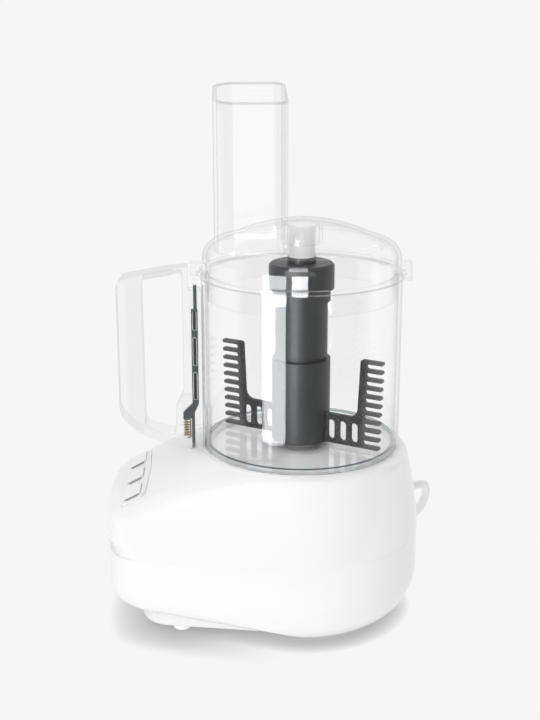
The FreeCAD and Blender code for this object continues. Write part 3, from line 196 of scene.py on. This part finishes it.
for name, place, width, height, watts in (
    ("tall_softbox", (1.475, -0.537, 0.55), 0.6, 1.5, 12.8),
    ("top_softbox", (0.35, 0.0, 1.6), 1.1, 1.1, 6.5),
    ("rear_softbox", (-1.00, 1.10, 0.70), 0.8, 0.8, 5.5),
    ("front_softbox", (-0.60, -1.00, 1.10), 0.8, 0.8, 3.5),
):
    softbox(name, place, SOFTBOX_AIM, width, height, watts).visible_glossy = False

for name, place, width, height, glow, mirrors in (
    ("window_tall", (0.2611, -0.1344, 0.2740), 0.131, 0.452, 13.0, BOWL_AND_COLUMN),
    ("window_sill", (0.2611, -0.1344, 0.1820), 0.131, 0.036, 13.0, LID_ONLY),
    ("window_low", (0.3060, -0.0025, 0.1815), 0.085, 0.019, 20.0, LID_ONLY),
    ("window_pale", (0.3100, -0.0020, 0.2690), 0.170, 0.154, 1.1, LID_ONLY),
    ("window_high", (0.3060, -0.0160, 0.4250), 0.113, 0.170, 8.0, LID_ONLY),
):
    window = softbox(name, place, (0.0, AXIS_Y, place[2]), width, height, glow * math.pi * width * height)
    window.data.color = WINDOW_TINT
    window.visible_camera = False
    window.visible_diffuse = False
    window.visible_transmission = False
    window.light_linking.receiver_collection = bpy.data.collections.new(name + "_mirrors")
    for mirror in mirrors:
        window.light_linking.receiver_collection.objects.link(nodes[mirror])

beam = bpy.data.lights.new("bowl_spot", "SPOT")
beam.energy = 8.0
beam.spot_size = math.radians(7.2)
beam.spot_blend = 0.3
beam.shadow_soft_size = 0.01
bowl_spot = bpy.data.objects.new("bowl_spot", beam)
bpy.context.scene.collection.objects.link(bowl_spot)
bowl_spot.location = (0.0, AXIS_Y, 1.12)
bowl_spot.visible_glossy = False


# Camera
# It looks at the machine's right side from a little above, at the height of the feed tube's mouth.
LOOKS_DOWN_DEG = 15.96
LOOKS_ACROSS_DEG = 88.0
lens = bpy.data.cameras.new("photo_camera")
lens.sensor_fit = "VERTICAL"
lens.sensor_height = 36.0
lens.lens = 62.9
camera = bpy.data.objects.new("photo_camera", lens)
bpy.context.scene.collection.objects.link(camera)
camera.location = (0.7934, -0.0236, 0.4004)
camera.rotation_euler = (math.radians(90.0 - LOOKS_DOWN_DEG), 0.0, math.radians(LOOKS_ACROSS_DEG))
bpy.context.scene.camera = camera
bpy.context.scene.view_settings.view_transform = "Standard"
bpy.context.scene.cycles.transparent_max_bounces = 32


# Base plate and feet
# A white moulded tray closes the base from below, and four soft pale feet are pressed into it.
def finish(name, colour, roughness, **constants):
    """A finish with one shader. Gives the material, the shader and a wire of the piece's own place."""
    material = bpy.data.materials.new(name)
    material.use_nodes = True
    tree = material.node_tree
    shader = tree.nodes["Principled BSDF"]
    shader.inputs["Base Color"].default_value = (*colour, 1.0)
    shader.inputs["Roughness"].default_value = roughness
    for key, value in constants.items():
        shader.inputs[key.replace("_", " ")].default_value = value
    place = Wire(tree).node("ShaderNodeTexCoord", output="Object")
    return material, shader, place


def mottle(place, scale, detail=3.0):
    """Soft cloudy noise, about 0.5 on average."""
    return place.node(
        "ShaderNodeTexNoise", sockets={"Vector": place, "Scale": scale, "Detail": detail, "Roughness": 0.55}
    )


def tint(shader, share, dark, light):
    """Colour that wanders between two tones."""
    share.blend(dark, light).feed(shader.inputs["Base Color"])


def skin(shader, height, strength, distance=0.0002):
    """Fine surface relief."""
    height.node(
        "ShaderNodeBump", sockets={"Height": height, "Strength": strength, "Distance": distance}
    ).feed(shader.inputs["Normal"])


def wear(material, *names):
    """Give pieces of the frame one finish all over."""
    for name in names:
        piece = nodes[name]
        piece.data.materials.clear()
        piece.data.materials.append(material)
        for face in piece.data.polygons:
            face.material_index = 0


plinth_white, shader, place = finish("plinth_white", (0.86, 0.87, 0.88), 0.24)
grain = mottle(place, 700.0)
tint(shader, mottle(place, 12.0), (0.845, 0.855, 0.865), (0.875, 0.885, 0.895))
(0.2 + 0.1 * grain).feed(shader.inputs["Roughness"])
skin(shader, grain, 0.08)
wear(plinth_white, "base_plate")

foot_rubber, shader, place = finish("foot_rubber", (0.90, 0.90, 0.90), 0.62)
grain = mottle(place, 1200.0)
tint(shader, grain, (0.88, 0.885, 0.89), (0.94, 0.945, 0.95))
skin(shader, grain, 0.3)
wear(foot_rubber, "feet")


# Motor
# Cast brackets, stacked sheet iron, lacquered windings and a ground steel spindle on sintered bearings,
# bolted together and hung from the upper moulding. A moulded fan under it blows down.
cast_metal, shader, place = finish("cast_metal", (0.62, 0.63, 0.64), 0.45, Metallic=1.0)
grain = mottle(place, 350.0, 5.0)
(0.35 + 0.2 * grain).feed(shader.inputs["Roughness"])
skin(shader, grain, 0.25, 0.0004)
wear(cast_metal, "upper_bracket", "lower_bracket")

sintered_bronze, shader, place = finish("sintered_bronze", (0.62, 0.42, 0.20), 0.5, Metallic=1.0)
(0.4 + 0.2 * mottle(place, 900.0, 4.0)).feed(shader.inputs["Roughness"])
wear(sintered_bronze, "upper_bearing", "lower_bearing")

SHEETS_PER_METRE = 1600.0
sheet_iron, shader, place = finish("sheet_iron", (0.34, 0.35, 0.37), 0.42, Metallic=1.0)
height = place.node("ShaderNodeSeparateXYZ", sockets={"Vector": place}, output="Z")
skin(shader, place.math("FRACT", height * SHEETS_PER_METRE), 0.4, 0.0003)
(0.36 + 0.12 * mottle(place, 400.0)).feed(shader.inputs["Roughness"])
wear(sheet_iron, "motor_stator", "rotor_core")

winding_copper, shader, place = finish("winding_copper", (0.45, 0.17, 0.06), 0.3, Metallic=0.7)
turns = place.node(
    "ShaderNodeTexWave", {"wave_type": "RINGS"}, {"Vector": place, "Scale": 260.0, "Distortion": 2.0}, 1
)
skin(shader, turns, 0.6, 0.0005)
wear(winding_copper, "motor_windings")

zinc_plate, shader, place = finish("zinc_plate", (0.60, 0.61, 0.63), 0.3, Metallic=1.0)
(0.24 + 0.14 * mottle(place, 700.0)).feed(shader.inputs["Roughness"])
wear(zinc_plate, "motor_bolts", "bracket_screws")

ground_steel, shader, place = finish("ground_steel", (0.66, 0.67, 0.69), 0.2, Metallic=1.0)
grinding = place.node(
    "ShaderNodeTexWave", {"bands_direction": "Z"}, {"Vector": place, "Scale": 900.0, "Distortion": 1.0}, 1
)
(0.16 + 0.12 * grinding).feed(shader.inputs["Roughness"])
wear(ground_steel, "spindle")

fan_black, shader, place = finish("fan_black", (0.02, 0.02, 0.022), 0.5)
(0.42 + 0.15 * mottle(place, 800.0)).feed(shader.inputs["Roughness"])
wear(fan_black, "cooling_fan", "interlock_switch")


# Mains lead
# A round white plastic lead leaves the rear of the base, drops behind it and is put away in a tied coil
# of five turns with its moulded plug beside it. Made as one curve of the lead's own thickness.
LEAD_RADIUS = 0.003
COIL_MIDDLE = (-0.14025, 0.0075)
COIL_OUTER = 0.04125
COIL_STEP = 0.0066
COIL_REST = 0.0012
COIL_TURNS = 5
PER_TURN = 16

lead_plastic, shader, place = finish("lead_plastic", (0.91, 0.91, 0.90), 0.38)
grain = mottle(place, 900.0)
tint(shader, mottle(place, 40.0), (0.89, 0.89, 0.88), (0.93, 0.93, 0.92))
skin(shader, grain, 0.15)
(0.32 + 0.12 * grain).feed(shader.inputs["Roughness"])

lead_route = [
    (-0.05678, 0.10560, 0.0600),
    (-0.06459, 0.11674, 0.0600),
    (-0.0767, 0.1233, 0.0533),
    (-0.0838, 0.1235, 0.0392),
    (-0.0864, 0.1186, 0.0287),
    (-0.0899, 0.1073, 0.0176),
    (-0.0944, 0.0895, 0.0082),
    (-0.0982, 0.0695, 0.0046),
    (-0.0996, 0.0495, 0.0044),
    (-0.0990, 0.0305, 0.0042),
    (-0.0990, 0.0135, 0.0042),
]
spread = 1.0 / math.cos(math.pi / PER_TURN)
for step in range(COIL_TURNS * PER_TURN + 1):
    turn = 2.0 * math.pi * step / PER_TURN
    quarter = 4.0 * step / PER_TURN - 2.0 * COIL_TURNS
    radius = spread * (COIL_OUTER - COIL_STEP * (2.0 * COIL_TURNS - abs(quarter)) / 4.0)
    climb = math.sin(max(-1.0, min(1.0, quarter)) * math.pi / 2.0)
    lead_route.append((
        COIL_MIDDLE[0] + radius * math.cos(turn),
        COIL_MIDDLE[1] - radius * math.sin(turn),
        LEAD_RADIUS + COIL_REST + COIL_STEP * (1.0 + climb) / 2.0,
    ))
lead_route += [(-0.0990, -0.0065, 0.0108), (-0.0990, -0.0285, 0.0108)]
lead_curve = bpy.data.curves.new("mains_lead", "CURVE")
lead_curve.dimensions = "3D"
lead_curve.bevel_depth = LEAD_RADIUS
lead_curve.bevel_resolution = 5
lead_curve.resolution_u = 6
lead_curve.use_fill_caps = True
spline = lead_curve.splines.new("NURBS")
spline.points.add(len(lead_route) - 1)
for point, spot in zip(spline.points, lead_route):
    point.co = (*spot, 1.0)
spline.order_u = 3
spline.use_endpoint_u = True
lead = bpy.data.objects.new("mains_lead", lead_curve)
bpy.context.scene.collection.objects.link(lead)
lead_curve.materials.append(lead_plastic)
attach(lead, "base")
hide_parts("cord_lead", "cord_coil")
wear(lead_plastic, "plug_body", "cord_gland")

blade_brass, shader, place = finish("blade_brass", (0.76, 0.62, 0.36), 0.28, Metallic=1.0)
(0.22 + 0.14 * mottle(place, 300.0)).feed(shader.inputs["Roughness"])
wear(blade_brass, "plug_blades")

tie_cloth, shader, place = finish("tie_cloth", (0.05, 0.05, 0.055), 0.85)
threads = place.node("ShaderNodeTexChecker", sockets={"Vector": place, "Scale": 1400.0}, output=1)
tint(shader, threads, (0.035, 0.035, 0.04), (0.075, 0.075, 0.08))
skin(shader, threads, 0.5)
wear(tie_cloth, "cord_tie")


# Housings
# Two glossy white mouldings that meet in a fine line round the middle of the base. The upper one has the
# hood and the bowl's deck. The deck under the bowl is painted a little brighter, as painted light that lifts
# the shade the clear bowl casts on it.
DECK_RADIUS = 0.0620
DECK_LOWEST = 0.1000
DECK_SOFT = 0.0010


def about_axis(place):
    """Wires of the place across, its distance from the bowl's axis and its height."""
    across = place.node("ShaderNodeSeparateXYZ", sockets={"Vector": place}, output="X")
    along = across.beside("Y") - AXIS_Y
    return across, (across * across + along * along) ** 0.5, across.beside("Z")


housing_white, shader, place = finish("housing_white", (0.90, 0.91, 0.92), 0.12)
flow = mottle(place, 9.0)
across, radius, height = about_axis(place)
# Painted light: the deck under the bowl is painted whiter to lift the shade the clear bowl casts there.
deck_painted_light = radius.ramp(DECK_RADIUS + DECK_SOFT, DECK_RADIUS - DECK_SOFT)
deck_painted_light *= height.ramp(DECK_LOWEST - DECK_SOFT, DECK_LOWEST + DECK_SOFT)
tint(shader, deck_painted_light, flow.blend((0.885, 0.897, 0.91), (0.915, 0.922, 0.93)), (0.975, 0.98, 0.985))
(0.09 + 0.05 * flow).feed(shader.inputs["Roughness"])
skin(shader, mottle(place, 420.0, 2.0), 0.03)
wear(housing_white, "upper_housing", "lower_housing")


# Control panel
# A thin satin silver-grey plate let into the sloping nose, with three white push buttons that stand
# through it and rest on key switches of the board underneath. The buttons' flanks are painted dark grey as
# painted shade.
panel_grey, shader, place = finish("panel_grey", (0.88, 0.885, 0.89), 0.3)
grain = mottle(place, 1500.0)
tint(shader, grain, (0.865, 0.87, 0.875), (0.895, 0.90, 0.905))
(0.24 + 0.12 * grain).feed(shader.inputs["Roughness"])
wear(panel_grey, "control_panel")

button_white, shader, place = finish("button_white", (0.90, 0.91, 0.91), 0.2)
# Painted shade: faces that turn along X, the buttons' flanks, are painted dark grey.
facing = place.node("ShaderNodeNewGeometry", output="True Normal")
flank_painted_shade = abs(place.node("ShaderNodeSeparateXYZ", sockets={"Vector": facing}, output="X")).ramp(0.5, 0.85)
tint(shader, flank_painted_shade, (0.90, 0.91, 0.91), (0.28, 0.285, 0.29))
(0.16 + 0.08 * mottle(place, 600.0)).feed(shader.inputs["Roughness"])
wear(button_white, "button_left", "button_middle", "button_right")

board_green, shader, place = finish("board_green", (0.02, 0.12, 0.06), 0.35)
tint(shader, mottle(place, 500.0), (0.015, 0.10, 0.05), (0.03, 0.15, 0.08))
wear(board_green, "circuit_board")


# Deck fittings
# A pale soft ring under the bowl, a blue-grey shaft seal in the deck's boss, and the interlock's white pin
# on its bronze coloured spring, which wait under the handle.
seal_rubber, shader, place = finish("seal_rubber", (0.11, 0.15, 0.20), 0.45)
grain = mottle(place, 900.0)
tint(shader, grain, (0.09, 0.125, 0.17), (0.13, 0.17, 0.225))
skin(shader, grain, 0.2)
wear(seal_rubber, "shaft_seal")
wear(foot_rubber, "bowl_seat_ring")
wear(button_white, "interlock_pin")

spring_wire, shader, place = finish("spring_wire", (0.50, 0.41, 0.29), 0.34, Metallic=0.6)
(0.24 + 0.14 * mottle(place, 1500.0)).feed(shader.inputs["Roughness"])
wear(spring_wire, "interlock_spring")


# Bowl
# Moulded in hard clear plastic with polished faces, so that only its edges and reflections show. The corner
# between its wall and floor is painted with a thin blue-grey line all round, as painted shade that stands in
# for the dark things the corner refracts.
WHITE = (1.0, 1.0, 1.0, 1.0)
RIM_GREY = (0.30, 0.31, 0.315, 1.0)
PLASTIC_INDEX = 1.36
# Painted shade: a thin blue-grey line at the inside corner of the bowl's wall and floor.
PAINTED_CORNER_BLUE = (0.20, 0.28, 0.33, 1.0)
CORNER_RADII = (0.0600, 0.0640)
CORNER_HEIGHTS = (0.1188, 0.1209)
CORNER_SHARE = 0.72


def film(place, colour):
    """A thin see-through film that takes a little light."""
    return place.node("ShaderNodeBsdfTransparent", sockets={"Color": colour})


def clear(name, depth, shade=WHITE, where=None):
    """Clear plastic: it mirrors more, and passes less, towards its rims. A painted shade may show at some
    places.
    """
    material = bpy.data.materials.new(name)
    material.use_nodes = True
    tree = material.node_tree
    tree.nodes.remove(tree.nodes["Principled BSDF"])
    place = Wire(tree).node("ShaderNodeTexCoord", output="Object")
    ripple = mottle(place, 26.0, 1.0)
    wave = place.node("ShaderNodeBump", sockets={"Height": ripple, "Strength": 0.02, "Distance": 0.0006})
    inner = place.node("ShaderNodeNewGeometry", output="Backfacing")
    index = PLASTIC_INDEX - inner * (PLASTIC_INDEX - 1.0 / PLASTIC_INDEX)
    mirror_share = place.node("ShaderNodeFresnel", sockets={"IOR": index})
    slant = place.node("ShaderNodeLayerWeight", sockets={"Blend": 0.5}, output="Facing") ** depth
    passed = slant.mix(film(place, WHITE), film(place, RIM_GREY))
    if where:
        passed = where(place).mix(passed, film(place, shade))
    gloss = place.node("ShaderNodeBsdfGlossy", sockets={"Color": WHITE, "Roughness": 0.02, "Normal": wave})
    mirror_share.mix(passed, gloss).feed(tree.nodes["Material Output"].inputs["Surface"])
    return material


def painted_corner_line(place):
    """Share of the painted blue-grey shade line between wall and floor."""
    across, radius, height = about_axis(place)
    return CORNER_SHARE * radius.within(*CORNER_RADII, 0.0003) * height.within(*CORNER_HEIGHTS, 0.0002)


wear(clear("bowl_plastic", 9.0, PAINTED_CORNER_BLUE, painted_corner_line), "bowl")


# Handle
# Moulded in the same clear plastic and joined to the bowl. The inner half of its grip is thicker, and it is
# painted a little greyer than the rest as painted shade.
# Painted shade: the inner half of the grip is painted greyer.
GRIP_PAINTED_GREY = (0.84, 0.845, 0.85, 1.0)
GRIP_DEPTHS = (-0.0895, -0.0785)
GRIP_SHARE = 0.16


def grip_painted_shade(place):
    """Share of the painted greyer shade in the grip."""
    along = place.node("ShaderNodeSeparateXYZ", sockets={"Vector": place}, output="Y")
    return GRIP_SHARE * along.within(*GRIP_DEPTHS, 0.0006)


wear(clear("handle_plastic", 6.0, GRIP_PAINTED_GREY, grip_painted_shade), "handle")


# Interlock rod
# A dark moulded strip with three long windows runs down inside the handle's inner column on a small spring.
# The windows' rims carry painted highlights as pale lines, and their insides a painted shade.
WINDOW_LOW = 0.1468
WINDOW_PITCH = 0.0237
WINDOW_LENGTH = 0.0187
WINDOW_HALF = 0.0010
WINDOW_MIDDLE_Y = -0.0450
WINDOWED_HEIGHTS = (0.1462, 0.2065)
rod_dark, shader, place = finish("rod_dark", (0.075, 0.08, 0.085), 0.35)
along = place.node("ShaderNodeSeparateXYZ", sockets={"Vector": place}, output="Y")
height = along.beside("Z")
aside = along - WINDOW_MIDDLE_Y
window_place = place.math("FRACT", (height - WINDOW_LOW) * (1.0 / WINDOW_PITCH))
from_middle = abs(window_place * WINDOW_PITCH - WINDOW_LENGTH / 2.0)
past_end = place.math("MAXIMUM", from_middle - (WINDOW_LENGTH / 2.0 - WINDOW_HALF))
rim = (past_end * past_end + aside * aside) ** 0.5 - WINDOW_HALF
windowed = height.within(*WINDOWED_HEIGHTS, 0.0002)
# Painted shade inside each window and a painted highlight round its rim.
window_inside_painted_shade = rim.ramp(0.0, -0.0002) * windowed
rim_painted_highlight = rim.within(-0.00005, 0.00040, 0.00012) * windowed
tint(shader, rim_painted_highlight, window_inside_painted_shade.blend((0.085, 0.105, 0.115), (0.045, 0.042, 0.040)), (0.60, 0.61, 0.61))
(0.3 + 0.12 * mottle(place, 900.0)).feed(shader.inputs["Roughness"])
wear(rod_dark, "push_rod")
wear(spring_wire, "push_rod_spring")


# Comb whisk
# Hub, stem and collar are moulded in satin dark grey plastic. Two comb wings with a sparkling grain are let
# into the hub, and a pale cap on top turns in the lid's bearing.
whisk_grey, shader, place = finish("whisk_grey", (0.050, 0.054, 0.058), 0.42, Specular_IOR_Level=0.35)
grain = mottle(place, 1100.0)
tint(shader, mottle(place, 60.0), (0.042, 0.047, 0.050), (0.052, 0.057, 0.060))
(0.36 + 0.12 * grain).feed(shader.inputs["Roughness"])
skin(shader, grain, 0.06)
wear(whisk_grey, "whisk_hub", "whisk_stem", "whisk_collar", "drive_socket")

wing_grey, shader, place = finish("wing_grey", (0.050, 0.052, 0.055), 0.45, Specular_IOR_Level=0.35)
sparks = mottle(place, 900.0, 2.0).ramp(0.48, 0.66)
tint(shader, sparks, (0.032, 0.034, 0.037), (0.12, 0.122, 0.125))
skin(shader, sparks, 0.2)
wear(wing_grey, "whisk_wing_right", "whisk_wing_left")

cap_white, shader, place = finish("cap_white", (0.84, 0.84, 0.825), 0.42)
(0.3 + 0.1 * mottle(place, 700.0)).feed(shader.inputs["Roughness"])
wear(cap_white, "whisk_cap")


# Lid
# Dome, feed tube and tabs are one clear moulding that turns on the bowl's rim, with a clear bearing ring under
# the dome. Its rim and the slanting lip of its tube are painted with thin dark lines, as painted shade that
# stands in for the dark edges clear plastic shows there.
# Painted shade: thin dark lines at the lid's rim and at the tube's lip.
PAINTED_LINE_GREY = (0.26, 0.27, 0.28, 1.0)
RIM_RADII = (0.0650, 0.0680)
RIM_HEIGHTS = (0.2310, 0.2320)
RIM_SHARE = 0.28
LIP_SLOPE = 0.1441
LIP_HEIGHTS = (0.3446, 0.3470)
LIP_SHARE = 0.2


def painted_dark_lines(place):
    """Share of the painted dark shade lines at the rim and at the tube's lip."""
    across, radius, height = about_axis(place)
    rim = radius.within(*RIM_RADII, 0.0002) * height.within(*RIM_HEIGHTS, 0.0002)
    lip = (height + across * LIP_SLOPE).within(*LIP_HEIGHTS, 0.0003)
    return rim * RIM_SHARE + lip * LIP_SHARE


wear(clear("lid_plastic", 9.0, PAINTED_LINE_GREY, painted_dark_lines), "lid")
wear(clear("clear_plastic", 9.0), "lid_bearing")
